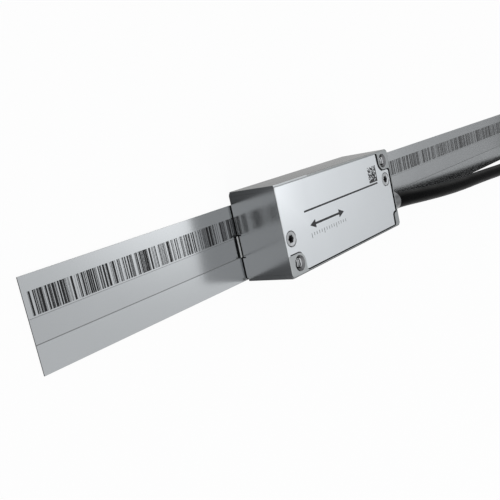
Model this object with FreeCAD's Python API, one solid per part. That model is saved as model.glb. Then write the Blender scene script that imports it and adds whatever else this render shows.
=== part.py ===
"""Exposed linear encoder: a steel scale tape and the scanning head that travels along it.

Millimetres. The tape lies on Z = 0 with its bonded side down, X along the measuring direction,
and the origin at the middle of the bonded side. The head rides above the tape on an air gap.
"""
import FreeCAD
import Part
import math
import os

# Scale tape and the film that bonds it
TAPE_LENGTH = 240.0
TAPE_WIDTH = 17.0
TAPE_THICKNESS = 0.2
FILM_THICKNESS = 0.1
FILM_INSET = 0.3

# Where the head stands over the tape
HEAD_FROM_TAPE_END = 53.0
HEAD_PAST_TAPE_EDGE = 0.15
AIR_GAP = 0.25

# Housing of the head
HEAD_LENGTH = 48.3
HEAD_WIDTH = 20.0
HEAD_DEPTH = 13.0
EDGE_RADIUS = 1.0
FRONT_RADIUS = 0.3
REAR_CHAMFER = 0.25
REAR_WALL = 2.0
SIDE_WALL = 1.6
CAVITY_RADIUS = 1.5

# Mounting holes at two opposite corners, each in a boss that the cover goes round
MOUNT_INSET_X = 3.2
MOUNT_INSET_Y = 2.6
MOUNT_HOLE_RADIUS = 1.25
MOUNT_MOUTH_RADIUS = 1.75
MOUNT_BOSS_RADIUS = 2.2
BOSS_TO_CAVITY = 0.2

# Cover plate in its recess
COVER_THICKNESS = 1.2
COVER_BELOW_FRONT = 0.05
COVER_CORNER = 0.64
RIM_SIDES = 0.4
RIM_RIGHT = 0.55
STEP_INSET_X = 2.1
STEP_HEIGHT = 3.6
SEAL_GAP = 0.42
SEAL_GAP_LOW = 0.3
SEAL_GAP_RIGHT = 0.7
PLAIN_GAP = 0.1

# Seal under the cover and in its gap
SEAL_THICKNESS = 0.15
SEAL_LIP = 0.18
SEAL_LIP_BELOW_COVER = 0.03
SEAL_FROM_END = 0.55

# Countersunk screws of the cover
COVER_SCREW_RADIUS = 1.0
COVER_SCREW_HEAD_RADIUS = 1.75
COVER_SCREW_LENGTH = 5.0
LEFT_SCREW_X = 2.0
LEFT_SCREW_Y = 8.2
RIGHT_SCREW_INSET_X = 3.25
RIGHT_SCREW_INSET_Y = 7.35
SOCKET_RADIUS = 0.9
SOCKET_DEPTH = 0.7
SOCKET_LOBES = 6

# Reading side: notches at both ends over the fine track, and the window between them
NOTCH_LOW = 5.5
NOTCH_WIDTH = 4.75
NOTCH_DEPTH = 0.6
NOTCH_LENGTH = 0.95
RETICLE_LENGTH = 13.0
RETICLE_WIDTH = 10.4
RETICLE_THICKNESS = 0.9
RETICLE_LEDGE = 0.5

# Optics between the reticle and the circuit board, with heights as shares of the room there
CARRIER_LENGTH = 17.0
CARRIER_WIDTH = 12.4
LENS_OFFSET = 3.9
LENS_RADIUS = 2.4
LENS_SEAT_WIDTH = 0.5
LENS_SEAT_SHARE = 0.25
LENS_EDGE_SHARE = 1 / 6
LENS_RISE_SHARE = 1 / 6
RETAINER_SHARE = 0.146
RETAINER_WALL = 0.45
SENSOR_OFFSET = 2.8
SENSOR_WINDOW_LENGTH = 6.4
SENSOR_WINDOW_WIDTH = 9.0
SENSOR_MARGIN = 0.4
SENSOR_SHARE = 0.1875
LAMP_LENGTH = 2.4
LAMP_WIDTH = 1.8
LAMP_SHARE = 0.125
LAMP_DOME_SHARE = 0.146

# Circuit board and what it carries
BOARD_THICKNESS = 1.0
BOARD_BELOW_CABLE = 0.8
BOARD_TO_WALL = 0.3
POST_RADIUS = 1.5
BOARD_SCREW_RADIUS = 0.8
BOARD_SCREW_HEAD_RADIUS = 1.4
BOARD_SCREW_HEAD_HEIGHT = 0.9
BOARD_SCREW_LENGTH = 3.6
POST_INSET = 2.4
PROCESSOR_SIDE = 7.0
PROCESSOR_HEIGHT = 0.9
DRIVER_LENGTH = 4.0
DRIVER_WIDTH = 5.0
DRIVER_HEIGHT = 1.1
DRIVER_FROM_MIDDLE = 11.75
CRYSTAL_LENGTH = 2.5
CRYSTAL_WIDTH = 2.0
CRYSTAL_HEIGHT = 0.7
CAPACITOR_LENGTH = 0.6
CAPACITOR_WIDTH = 1.1
CAPACITOR_HEIGHT = 0.6
CAPACITOR_PITCH = 1.6
CAPACITORS = 5
PART_SPACING = 1.0
HEADER_LENGTH = 3.6
HEADER_WIDTH = 6.4
HEADER_HEIGHT = 2.0
HEADER_INSET = 2.6
WIRE_RADIUS = 0.3
WIRES = 8

# Cable, its sleeve in the head's end face and the seal behind the sleeve's collar
CABLE_DIAMETER = 3.7
CABLE_FIT = 0.05
CABLE_AXIS_Y = 5.45
CABLE_AXIS_BELOW_FRONT = 4.4
SLEEVE_LENGTH = 6.3
SLEEVE_RADIUS = 2.5
SLEEVE_SHANK_RADIUS = 2.2
SLEEVE_MOUTH_WALL = 0.25
SLEEVE_FLARE = 5.0
SLEEVE_ROUND = 0.2

# Moulded round plug on the cable's far end
PLUG_BOOT_LENGTH = 14.0
PLUG_BOOT_RADIUS = 2.9
PLUG_BOOT_END_RADIUS = 4.0
BOOT_GROOVES = 3
BOOT_GROOVE_WIDTH = 1.4
BOOT_GROOVE_DEPTH = 0.6
GRIP_LENGTH = 19.0
GRIP_REAR_RADIUS = 5.4
GRIP_FRONT_RADIUS = 6.4
GRIP_ROUND = 0.8
INSERT_RADIUS = 4.4
INSERT_DEPTH_IN_GRIP = 10.0
INSERT_FLANGE_RADIUS = 4.85
INSERT_CUP_DEPTH = 6.5
INSERT_CUP_WALL = 0.75
INSERT_BASE = 3.0
PIN_RADIUS = 0.4
PIN_CIRCLE_RADIUS = 2.75
PIN_REACH = 5.8
PINS_ON_CIRCLE = 7
NUT_RADIUS = 7.25
NUT_LENGTH = 7.0
NUT_THREAD_RADIUS = 6.0
NUT_THREAD_LENGTH = 6.0
NUT_NECK_RADIUS = 5.6
NUT_SHOULDER = 2.7
NUT_CLEARANCE = 0.3
KNURLS = 24
KNURL_RADIUS = 0.5
PLUG_RING_SECTION = 0.6

# Small clearances
SLIP = 0.05
PIN_SLIP = 0.02

# Route of the cable past its sleeve: over the tape's edge, down to the surface and along it
CABLE_ROUTE = [
    (8.2, -5.7, 8.95),
    (30.0, -7.75, 8.4),
    (52.0, -8.95, 7.35),
    (75.0, -10.2, 5.8),
    (98.0, -11.35, 3.7),
    (121.0, -11.8, 2.75),
    (143.0, -11.65, 2.6),
    (162.95, -11.6, 2.65),
]
# Hank of the length that is put away, past the end of the tape
HANK_LEFT = 150.0
HANK_MIDDLE_Y = -0.5
HANK_FOLD_RADIUS = 11.1
HANK_STRAIGHT = 54.0
HANK_LAYERS = 5
HANK_ROUND = 1.2
TIE_THICKNESS = 0.8
TIE_WIDTH = 9.0
# From the top of the hank down to the plug
TAIL_ROUTE = [
    (216.95, -11.6, 17.45),
    (229.0, -11.5, 17.2),
    (241.0, -8.4, 12.6),
    (252.0, -4.0, 7.25),
    (266.0, -4.0, 7.25),
]
PLUG_PLACE = (258.0, -4.0, 7.25)

# Heights in the head, from its reading face
seal_seat = HEAD_DEPTH - COVER_BELOW_FRONT - COVER_THICKNESS - SEAL_THICKNESS
cover_low = seal_seat + SEAL_THICKNESS
cover_high = cover_low + COVER_THICKNESS
cable_z = HEAD_DEPTH - CABLE_AXIS_BELOW_FRONT
board_high = cable_z - BOARD_BELOW_CABLE
board_low = board_high - BOARD_THICKNESS
optics_height = board_low - REAR_WALL
lens_low = REAR_WALL + LENS_SEAT_SHARE * optics_height
lens_edge = LENS_EDGE_SHARE * optics_height
lens_rise = LENS_RISE_SHARE * optics_height
retainer_height = RETAINER_SHARE * optics_height
sensor_thickness = SENSOR_SHARE * optics_height
lamp_thickness = LAMP_SHARE * optics_height
lamp_dome_radius = LAMP_DOME_SHARE * optics_height

# Plan of the head, from its left lower corner
middle_x = HEAD_LENGTH / 2
middle_y = HEAD_WIDTH / 2
mount_holes = [
    (MOUNT_INSET_X, MOUNT_INSET_Y),
    (HEAD_LENGTH - MOUNT_INSET_X, HEAD_WIDTH - MOUNT_INSET_Y),
]
cover_screws_at = [
    (LEFT_SCREW_X, LEFT_SCREW_Y),
    (HEAD_LENGTH - RIGHT_SCREW_INSET_X, HEAD_WIDTH - RIGHT_SCREW_INSET_Y),
]
end_wall = MOUNT_INSET_X + MOUNT_BOSS_RADIUS + BOSS_TO_CAVITY
cavity = (end_wall, SIDE_WALL, HEAD_LENGTH - end_wall, HEAD_WIDTH - SIDE_WALL)
board = (
    cavity[0] + BOARD_TO_WALL,
    cavity[1] + BOARD_TO_WALL,
    cavity[2] - BOARD_TO_WALL,
    cavity[3] - BOARD_TO_WALL,
)
board_posts = [
    (board[0] + POST_INSET, board[1] + POST_INSET),
    (board[2] - POST_INSET, board[3] - POST_INSET),
]
lens_x = middle_x - LENS_OFFSET
sensor_x = middle_x + SENSOR_OFFSET
cable_radius = CABLE_DIAMETER / 2
head_place = FreeCAD.Vector(
    HEAD_FROM_TAPE_END - TAPE_LENGTH / 2,
    -TAPE_WIDTH / 2 - HEAD_PAST_TAPE_EDGE,
    FILM_THICKNESS + TAPE_THICKNESS + AIR_GAP,
)

# Along the plug's axis, from the end of its boot
grip_front = PLUG_BOOT_LENGTH + GRIP_LENGTH
nut_rear = grip_front + NUT_CLEARANCE
nut_shoulder = nut_rear + NUT_SHOULDER
flange_rear = nut_shoulder + NUT_CLEARANCE
insert_rear = grip_front - INSERT_DEPTH_IN_GRIP
cup_floor = flange_rear + INSERT_BASE
insert_front = cup_floor + INSERT_CUP_DEPTH
nut_head_front = nut_rear + NUT_LENGTH
nut_neck_front = nut_head_front + 2 * PLUG_RING_SECTION + 2 * PIN_SLIP
nut_front = nut_neck_front + NUT_THREAD_LENGTH


def rounded_outline(corners):
    """A closed flat wire through (x, y, radius) corners, each rounded by its radius."""
    edges = []
    ends = []
    count = len(corners)
    for i, (x, y, radius) in enumerate(corners):
        here = FreeCAD.Vector(x, y, 0)
        back = (FreeCAD.Vector(*corners[i - 1][:2], 0) - here).normalize()
        ahead = (FreeCAD.Vector(*corners[(i + 1) % count][:2], 0) - here).normalize()
        half = back.getAngle(ahead) / 2
        reach = radius / math.tan(half)
        start = here + back * reach
        end = here + ahead * reach
        inward = (back + ahead).normalize()
        middle = here + inward * (radius / math.sin(half) - radius)
        ends.append((start, middle, end, radius))
    for i, (start, middle, end, radius) in enumerate(ends):
        if radius > 0:
            edges.append(Part.Arc(start, middle, end).toShape())
        following = ends[(i + 1) % count][0]
        if end.distanceToPoint(following) > 1e-6:
            edges.append(Part.LineSegment(end, following).toShape())
    return Part.Wire(edges)


def prism(corners, low, high):
    """A solid of the rounded outline between two heights."""
    solid = Part.Face(rounded_outline(corners)).extrude(FreeCAD.Vector(0, 0, high - low))
    solid.translate(FreeCAD.Vector(0, 0, low))
    return solid


def block(x_low, y_low, x_high, y_high, low, high, radius=0.0):
    corners = [
        (x_low, y_low, radius),
        (x_high, y_low, radius),
        (x_high, y_high, radius),
        (x_low, y_high, radius),
    ]
    return prism(corners, low, high)


def centred_block(x, y, length, width, low, high, radius=0.0):
    return block(x - length / 2, y - width / 2, x + length / 2, y + width / 2, low, high, radius)


def rod(x, y, radius, low, high):
    return Part.makeCylinder(radius, high - low, FreeCAD.Vector(x, y, low))


def cone(x, y, low_radius, high_radius, low, high):
    return Part.makeCone(low_radius, high_radius, high - low, FreeCAD.Vector(x, y, low))


def turned(profile):
    """A solid of revolution about X from (x, radius) points."""
    points = [FreeCAD.Vector(x, radius, 0) for x, radius in profile]
    face = Part.Face(Part.makePolygon(points + points[:1]))
    return face.revolve(FreeCAD.Vector(0, 0, 0), FreeCAD.Vector(1, 0, 0), 360)


def tube(outer, inner, start, end):
    """A straight round sleeve along X."""
    return turned([(start, inner), (end, inner), (end, outer), (start, outer)])


def cover_outline(left, sealed, plain):
    """The cover's recess from this left end, drawn in by one gap at the seal and another along the top."""
    boss = MOUNT_BOSS_RADIUS + sealed
    corner = COVER_CORNER - sealed
    hollow = COVER_CORNER + sealed
    (left_x, left_y), (right_x, right_y) = mount_holes
    low = RIM_SIDES + sealed * SEAL_GAP_LOW / SEAL_GAP
    high = HEAD_WIDTH - RIM_SIDES - plain
    sealed_right = sealed * SEAL_GAP_RIGHT / SEAL_GAP
    right = HEAD_LENGTH - RIM_RIGHT - sealed_right
    step = HEAD_LENGTH - STEP_INSET_X - sealed_right
    step_y = STEP_HEIGHT + sealed
    return [
        (left, high, 0),
        (left, left_y + boss, 0),
        (left_x + boss, left_y + boss, boss),
        (left_x + boss, low, corner),
        (step, low, corner),
        (step, step_y, hollow),
        (right, step_y, corner),
        (right, right_y - boss, corner),
        (right_x - boss, right_y - boss, boss),
        (right_x - boss, high, corner),
    ]


def make_scale_tape():
    half = TAPE_LENGTH / 2
    side = TAPE_WIDTH / 2
    return block(-half, -side, half, side, FILM_THICKNESS, FILM_THICKNESS + TAPE_THICKNESS)


def make_adhesive_film():
    half = TAPE_LENGTH / 2 - FILM_INSET
    side = TAPE_WIDTH / 2 - FILM_INSET
    return block(-half, -side, half, side, 0, FILM_THICKNESS)


def head_envelope():
    """The head's outer form, which the housing and the cover share."""
    body = block(0, 0, HEAD_LENGTH, HEAD_WIDTH, 0, HEAD_DEPTH, EDGE_RADIUS)
    front = [e for e in body.Edges if e.BoundBox.ZMin > HEAD_DEPTH - 1e-6]
    body = body.makeFillet(FRONT_RADIUS, front)
    rear = [e for e in body.Edges if e.BoundBox.ZMax < 1e-6]
    return body.makeChamfer(REAR_CHAMFER, rear)


def make_head_housing():
    """A box milled out from the front, open at its left end where the cover comes flush with it."""
    body = head_envelope()
    cuts = [
        prism(cover_outline(-1, 0, 0), seal_seat, HEAD_DEPTH + 1),
        block(*cavity, REAR_WALL, HEAD_DEPTH, CAVITY_RADIUS),
    ]
    for start, end in ((-1, NOTCH_LENGTH), (HEAD_LENGTH - NOTCH_LENGTH, HEAD_LENGTH + 1)):
        cuts.append(block(start, NOTCH_LOW, end, NOTCH_LOW + NOTCH_WIDTH, -1, NOTCH_DEPTH))
    glass_low = REAR_WALL - RETICLE_THICKNESS
    cuts.append(
        centred_block(
            middle_x, middle_y, RETICLE_LENGTH + 2 * SLIP, RETICLE_WIDTH + 2 * SLIP, glass_low, REAR_WALL + 1
        )
    )
    opening = 2 * RETICLE_LEDGE
    cuts.append(
        centred_block(middle_x, middle_y, RETICLE_LENGTH - opening, RETICLE_WIDTH - opening, -1, REAR_WALL)
    )
    mouth = MOUNT_MOUTH_RADIUS - MOUNT_HOLE_RADIUS
    for x, y in mount_holes:
        cuts.append(rod(x, y, MOUNT_HOLE_RADIUS, -1, HEAD_DEPTH + 1))
        cuts.append(cone(x, y, MOUNT_HOLE_RADIUS, MOUNT_MOUTH_RADIUS, HEAD_DEPTH - mouth, HEAD_DEPTH))
        cuts.append(cone(x, y, MOUNT_MOUTH_RADIUS, MOUNT_HOLE_RADIUS, 0, mouth))
    screw_end = cover_high - COVER_SCREW_LENGTH - SLIP
    for x, y in cover_screws_at:
        cuts.append(rod(x, y, COVER_SCREW_RADIUS + PIN_SLIP, screw_end, HEAD_DEPTH))
    bore = Part.makeCylinder(
        SLEEVE_SHANK_RADIUS + PIN_SLIP,
        end_wall + 2,
        FreeCAD.Vector(HEAD_LENGTH - end_wall - 1, CABLE_AXIS_Y, cable_z),
        FreeCAD.Vector(1, 0, 0),
    )
    cuts.append(bore)
    body = body.cut(cuts)
    posts = []
    for x, y in board_posts:
        post = rod(x, y, POST_RADIUS, REAR_WALL - SLIP, board_low)
        end = board_high - BOARD_SCREW_LENGTH - SLIP
        posts.append(post.cut(rod(x, y, BOARD_SCREW_RADIUS + PIN_SLIP, end, board_low + 1)))
    return body.fuse(posts).removeSplitter()


def make_cover_plate():
    """A plate that goes round the bosses, with a land at its left end that closes the seal's gap there."""
    plate = prism(cover_outline(-1, SEAL_GAP, PLAIN_GAP), cover_low, cover_high)
    land = prism(cover_outline(-1, 0, PLAIN_GAP), seal_seat, cover_high)
    land = land.common(block(-1, 0, SEAL_FROM_END - SLIP, HEAD_WIDTH, 0, HEAD_DEPTH))
    plate = plate.fuse(land).removeSplitter().common(head_envelope())
    sink = COVER_SCREW_HEAD_RADIUS - COVER_SCREW_RADIUS
    for x, y in cover_screws_at:
        plate = plate.cut(rod(x, y, COVER_SCREW_RADIUS + SLIP, cover_low - 1, cover_high + 1))
        hole = COVER_SCREW_RADIUS + SLIP
        plate = plate.cut(cone(x, y, hole, hole + sink, cover_high - sink, cover_high))
    return plate


def make_cover_gasket():
    """A flat seal on the recess floor, with a lip that stands along the wall in the gap beside the cover."""
    outline = cover_outline(SEAL_FROM_END, PIN_SLIP, PLAIN_GAP)
    lip_top = cover_high - SEAL_LIP_BELOW_COVER
    beside = prism(cover_outline(-1, PIN_SLIP + SEAL_LIP, -1), cover_low, cover_high)
    flat = prism(outline, seal_seat, cover_low)
    lip = prism(outline, cover_low, lip_top).cut(beside)
    seal = flat.fuse(lip).cut(block(*cavity, 0, HEAD_DEPTH, CAVITY_RADIUS))
    for x, y in cover_screws_at:
        seal = seal.cut(rod(x, y, COVER_SCREW_RADIUS + SLIP, 0, HEAD_DEPTH))
    return seal.removeSplitter()


def make_cover_screws():
    sink = COVER_SCREW_HEAD_RADIUS - COVER_SCREW_RADIUS
    lobes = []
    for i in range(2 * SOCKET_LOBES):
        angle = math.pi * i / SOCKET_LOBES
        reach = SOCKET_RADIUS if i % 2 == 0 else SOCKET_RADIUS * 0.68
        lobes.append((reach * math.cos(angle), reach * math.sin(angle), SOCKET_RADIUS * 0.12))
    screws = []
    for x, y in cover_screws_at:
        shank = rod(x, y, COVER_SCREW_RADIUS, cover_high - COVER_SCREW_LENGTH, cover_high)
        head = cone(x, y, COVER_SCREW_RADIUS, COVER_SCREW_HEAD_RADIUS, cover_high - sink, cover_high)
        socket = prism(lobes, cover_high - SOCKET_DEPTH, cover_high + 1)
        socket.translate(FreeCAD.Vector(x, y, 0))
        screws.append(shank.fuse(head).cut(socket).removeSplitter())
    return Part.makeCompound(screws)


def make_scanning_reticle():
    return centred_block(
        middle_x, middle_y, RETICLE_LENGTH, RETICLE_WIDTH, REAR_WALL - RETICLE_THICKNESS, REAR_WALL
    )


def make_optics_carrier():
    """A dark block with a stepped bore for the lens and a window for the sensor."""
    body = centred_block(middle_x, middle_y, CARRIER_LENGTH, CARRIER_WIDTH, REAR_WALL, board_low, 1.0)
    cuts = [
        rod(lens_x, middle_y, LENS_RADIUS - LENS_SEAT_WIDTH, 0, HEAD_DEPTH),
        rod(lens_x, middle_y, LENS_RADIUS + SLIP, lens_low, HEAD_DEPTH),
        centred_block(
            sensor_x, middle_y, SENSOR_WINDOW_LENGTH, SENSOR_WINDOW_WIDTH, 0, HEAD_DEPTH, 0.5
        ),
    ]
    return body.cut(cuts)


def make_condenser_lens():
    """Flat below and domed above, with a straight edge."""
    dome = (LENS_RADIUS**2 + lens_rise**2) / (2 * lens_rise)
    top = lens_low + lens_edge + lens_rise
    blank = rod(lens_x, middle_y, LENS_RADIUS, lens_low, top)
    ball = Part.makeSphere(dome, FreeCAD.Vector(lens_x, middle_y, top - dome))
    return blank.common(ball)


def make_lens_retainer():
    low = lens_low + lens_edge
    ring = rod(lens_x, middle_y, LENS_RADIUS, low, low + retainer_height)
    dome = (LENS_RADIUS**2 + lens_rise**2) / (2 * lens_rise)
    ball = Part.makeSphere(dome + SLIP, FreeCAD.Vector(lens_x, middle_y, low + lens_rise - dome))
    hole = rod(lens_x, middle_y, LENS_RADIUS - RETAINER_WALL, 0, HEAD_DEPTH)
    return ring.cut([hole, ball])


def make_lamp():
    low = board_low - lamp_thickness
    package = centred_block(lens_x, middle_y, LAMP_LENGTH, LAMP_WIDTH, low, board_low)
    ball = Part.makeSphere(lamp_dome_radius, FreeCAD.Vector(lens_x, middle_y, low))
    dome = ball.common(rod(lens_x, middle_y, lamp_dome_radius + 1, low - lamp_dome_radius, low))
    return package.fuse(dome).removeSplitter()


def make_photo_sensor():
    return centred_block(
        sensor_x,
        middle_y,
        SENSOR_WINDOW_LENGTH - 2 * SENSOR_MARGIN,
        SENSOR_WINDOW_WIDTH - 2 * SENSOR_MARGIN,
        board_low - sensor_thickness,
        board_low,
    )


def make_circuit_board():
    plate = block(*board, board_low, board_high, CAVITY_RADIUS)
    for x, y in board_posts:
        plate = plate.cut(rod(x, y, BOARD_SCREW_RADIUS + SLIP, 0, HEAD_DEPTH))
    return plate


def make_board_screws():
    screws = []
    for x, y in board_posts:
        shank = rod(x, y, BOARD_SCREW_RADIUS, board_high - BOARD_SCREW_LENGTH, board_high)
        head = rod(x, y, BOARD_SCREW_HEAD_RADIUS, board_high, board_high + BOARD_SCREW_HEAD_HEIGHT)
        slot_low = board_high + BOARD_SCREW_HEAD_HEIGHT / 2
        across = 2 * BOARD_SCREW_HEAD_RADIUS
        width = BOARD_SCREW_RADIUS / 2
        cross = [
            centred_block(x, y, across, width, slot_low, slot_low + 1),
            centred_block(x, y, width, across, slot_low, slot_low + 1),
        ]
        reach = rod(x, y, 0.7 * BOARD_SCREW_HEAD_RADIUS, slot_low, slot_low + 1)
        cross = [c.common(reach) for c in cross]
        screws.append(shank.fuse(head).cut(cross).removeSplitter())
    return Part.makeCompound(screws)


def make_processor_chip():
    return centred_block(
        middle_x, middle_y, PROCESSOR_SIDE, PROCESSOR_SIDE, board_high, board_high + PROCESSOR_HEIGHT
    )


def make_line_driver():
    return centred_block(
        middle_x - DRIVER_FROM_MIDDLE,
        middle_y,
        DRIVER_LENGTH,
        DRIVER_WIDTH,
        board_high,
        board_high + DRIVER_HEIGHT,
    )


def make_clock_crystal():
    y = middle_y - PROCESSOR_SIDE / 2 - PART_SPACING - CRYSTAL_WIDTH / 2
    return centred_block(
        middle_x, y, CRYSTAL_LENGTH, CRYSTAL_WIDTH, board_high, board_high + CRYSTAL_HEIGHT, 0.3
    )


def make_chip_capacitors():
    y = middle_y + PROCESSOR_SIDE / 2 + PART_SPACING + CAPACITOR_WIDTH / 2
    row = []
    for i in range(CAPACITORS):
        x = middle_x + (i - (CAPACITORS - 1) / 2) * CAPACITOR_PITCH
        row.append(
            centred_block(
                x, y, CAPACITOR_LENGTH, CAPACITOR_WIDTH, board_high, board_high + CAPACITOR_HEIGHT
            )
        )
    return Part.makeCompound(row)


header_right = board[2] - HEADER_INSET
wire_pitch = HEADER_WIDTH / WIRES
header_y = max(CABLE_AXIS_Y, board[1] + HEADER_WIDTH / 2)


def make_wire_header():
    return block(
        header_right - HEADER_LENGTH,
        header_y - HEADER_WIDTH / 2,
        header_right,
        header_y + HEADER_WIDTH / 2,
        board_high,
        board_high + HEADER_HEIGHT,
    )


def make_cable_wires():
    """Cores of the cable, fanned out from its cut end to the header on the board."""
    wires = []
    cut_end = HEAD_LENGTH - end_wall
    spread = 2 * (cable_radius - 2 * WIRE_RADIUS)
    between = block(header_right, 0, cut_end, HEAD_WIDTH, 0, HEAD_DEPTH)
    for i in range(WIRES):
        share = i / (WIRES - 1) - 0.5
        row = (i % 2 - 0.5) * 3 * WIRE_RADIUS
        start = FreeCAD.Vector(cut_end, CABLE_AXIS_Y + share * spread, cable_z + row)
        end_y = header_y + share * (HEADER_WIDTH - wire_pitch)
        end = FreeCAD.Vector(header_right, end_y, board_high + HEADER_HEIGHT / 2 + row / 2)
        along = end - start
        spare = along * (2 * WIRE_RADIUS / along.Length)
        wire = Part.makeCylinder(WIRE_RADIUS, along.Length + 2 * spare.Length, start - spare, along)
        wires.append(wire.common(between))
    return Part.makeCompound(wires)


def make_cable_sleeve():
    """A crimped sleeve: a shank in the end wall, and a collar outside that flares inside its mouth."""
    inner = cable_radius + CABLE_FIT
    mouth = HEAD_LENGTH + SLEEVE_LENGTH
    profile = [
        (HEAD_LENGTH - end_wall, inner),
        (mouth - SLEEVE_FLARE, inner),
        (mouth, SLEEVE_RADIUS - SLEEVE_MOUTH_WALL - SLEEVE_ROUND / 2),
        (mouth, SLEEVE_RADIUS - SLEEVE_ROUND),
        (mouth - SLEEVE_ROUND, SLEEVE_RADIUS),
        (HEAD_LENGTH, SLEEVE_RADIUS),
        (HEAD_LENGTH, SLEEVE_SHANK_RADIUS),
        (HEAD_LENGTH - end_wall, SLEEVE_SHANK_RADIUS),
    ]
    sleeve = turned(profile)
    sleeve.translate(FreeCAD.Vector(0, CABLE_AXIS_Y, cable_z))
    return sleeve


def cord_tube(points, radius):
    """A round cord along straight runs joined by the largest tangent arcs that the runs allow."""
    edges = []
    at = points[0]
    bends = []
    for before, here, after in zip(points, points[1:], points[2:]):
        back = (before - here).normalize()
        ahead = (after - here).normalize()
        reach = 0.45 * min(before.distanceToPoint(here), here.distanceToPoint(after))
        half_turn = (math.pi - back.getAngle(ahead)) / 2
        bend = reach / math.tan(half_turn)
        bends.append(bend)
        start = here + back * reach
        end = here + ahead * reach
        inward = (back + ahead).normalize()
        middle = here + inward * (bend / math.cos(half_turn) - bend)
        edges.append(Part.LineSegment(at, start).toShape())
        edges.append(Part.Arc(start, middle, end).toShape())
        at = end
    edges.append(Part.LineSegment(at, points[-1]).toShape())
    path = Part.Wire(edges)
    across = points[1] - points[0]
    ring = Part.Wire(Part.makeCircle(radius, points[0], across))
    cord = path.makePipeShell([ring], True, False)
    drawn = math.pi * radius**2 * path.Length
    print("bends", [round(b, 1) for b in bends], "length", round(path.Length, 1))
    print("volume", round(cord.Volume, 1), "section by length", round(drawn, 1))
    return cord


def make_signal_cable():
    axis = FreeCAD.Vector(0, CABLE_AXIS_Y, cable_z) + head_place
    start = FreeCAD.Vector(HEAD_LENGTH - end_wall, 0, 0) + axis
    bend = FreeCAD.Vector(HEAD_LENGTH + SLEEVE_LENGTH - 0.5, 0, 0) + axis
    return cord_tube([start, bend] + [FreeCAD.Vector(*p) for p in CABLE_ROUTE], cable_radius)


def make_cable_tail():
    return cord_tube([FreeCAD.Vector(*p) for p in TAIL_ROUTE], cable_radius)


def make_cable_hank():
    """A long ring with round ends, as wide as the cable and as high as its layers."""
    low = TIE_THICKNESS
    high = low + HANK_LAYERS * CABLE_DIAMETER
    left = HANK_LEFT
    right = HANK_LEFT + HANK_STRAIGHT + 2 * HANK_FOLD_RADIUS + CABLE_DIAMETER
    outer = HANK_FOLD_RADIUS + cable_radius
    inner = HANK_FOLD_RADIUS - cable_radius
    shift = CABLE_DIAMETER
    y_low = HANK_MIDDLE_Y - outer
    y_high = HANK_MIDDLE_Y + outer
    # Round ends: the corner radius stays a hair under half the width, so that the sides meet it
    ring = block(left, y_low, right, y_high, low, high, outer - 1e-3)
    hole = block(left + shift, y_low + shift, right - shift, y_high - shift, low - 1, high + 1, inner - 1e-3)
    ring = ring.cut(hole)
    edges = [e for e in ring.Edges if abs(e.BoundBox.ZMax - e.BoundBox.ZMin) < 1e-6]
    return ring.makeFillet(HANK_ROUND, edges)


def make_hank_tie():
    """A strap round both sides of the hank, at its middle."""
    x = HANK_LEFT + cable_radius + HANK_FOLD_RADIUS + HANK_STRAIGHT / 2
    side = HANK_FOLD_RADIUS + cable_radius + SLIP
    top = TIE_THICKNESS + HANK_LAYERS * CABLE_DIAMETER + SLIP
    inner = [
        (-side, TIE_THICKNESS, HANK_ROUND),
        (side, TIE_THICKNESS, HANK_ROUND),
        (side, top, HANK_ROUND),
        (-side, top, HANK_ROUND),
    ]
    out = TIE_THICKNESS
    round_out = HANK_ROUND + out
    outer = [
        (-side - out, 0, round_out),
        (side + out, 0, round_out),
        (side + out, top + out, round_out),
        (-side - out, top + out, round_out),
    ]
    strap = prism(outer, 0, TIE_WIDTH).cut(prism(inner, -1, TIE_WIDTH + 1))
    strap.rotate(FreeCAD.Vector(0, 0, 0), FreeCAD.Vector(1, 1, 1), 120)
    strap.translate(FreeCAD.Vector(x - TIE_WIDTH / 2, HANK_MIDDLE_Y, 0))
    return strap


def make_plug_grip():
    """Moulded body with a grooved bend relief behind it and a seat for the insert in front."""
    inner = cable_radius + CABLE_FIT
    profile = [
        (0, inner),
        (insert_rear, inner),
        (insert_rear, INSERT_RADIUS + PIN_SLIP),
        (grip_front, INSERT_RADIUS + PIN_SLIP),
        (grip_front, GRIP_FRONT_RADIUS - GRIP_ROUND / 2),
        (grip_front - GRIP_ROUND, GRIP_FRONT_RADIUS),
        (PLUG_BOOT_LENGTH + 2 * GRIP_ROUND, GRIP_REAR_RADIUS),
        (PLUG_BOOT_LENGTH, PLUG_BOOT_END_RADIUS),
        (0, PLUG_BOOT_RADIUS),
    ]
    body = turned(profile)
    pitch = PLUG_BOOT_LENGTH / (BOOT_GROOVES + 1)
    for i in range(BOOT_GROOVES):
        middle = pitch * (i + 1)
        here = PLUG_BOOT_RADIUS + (PLUG_BOOT_END_RADIUS - PLUG_BOOT_RADIUS) * middle / PLUG_BOOT_LENGTH
        half = BOOT_GROOVE_WIDTH / 2
        body = body.cut(tube(here + 1, here - BOOT_GROOVE_DEPTH, middle - half, middle + half))
    return body


def pin_places():
    places = [(0.0, 0.0)]
    for i in range(PINS_ON_CIRCLE):
        angle = 2 * math.pi * (i + 0.5) / PINS_ON_CIRCLE
        places.append((PIN_CIRCLE_RADIUS * math.cos(angle), PIN_CIRCLE_RADIUS * math.sin(angle)))
    return places


def pins(radius, start, end):
    """Round bars at the contacts' places, along the plug."""
    along = FreeCAD.Vector(1, 0, 0)
    return [
        Part.makeCylinder(radius, end - start, FreeCAD.Vector(start, y, z), along)
        for y, z in pin_places()
    ]


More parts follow.
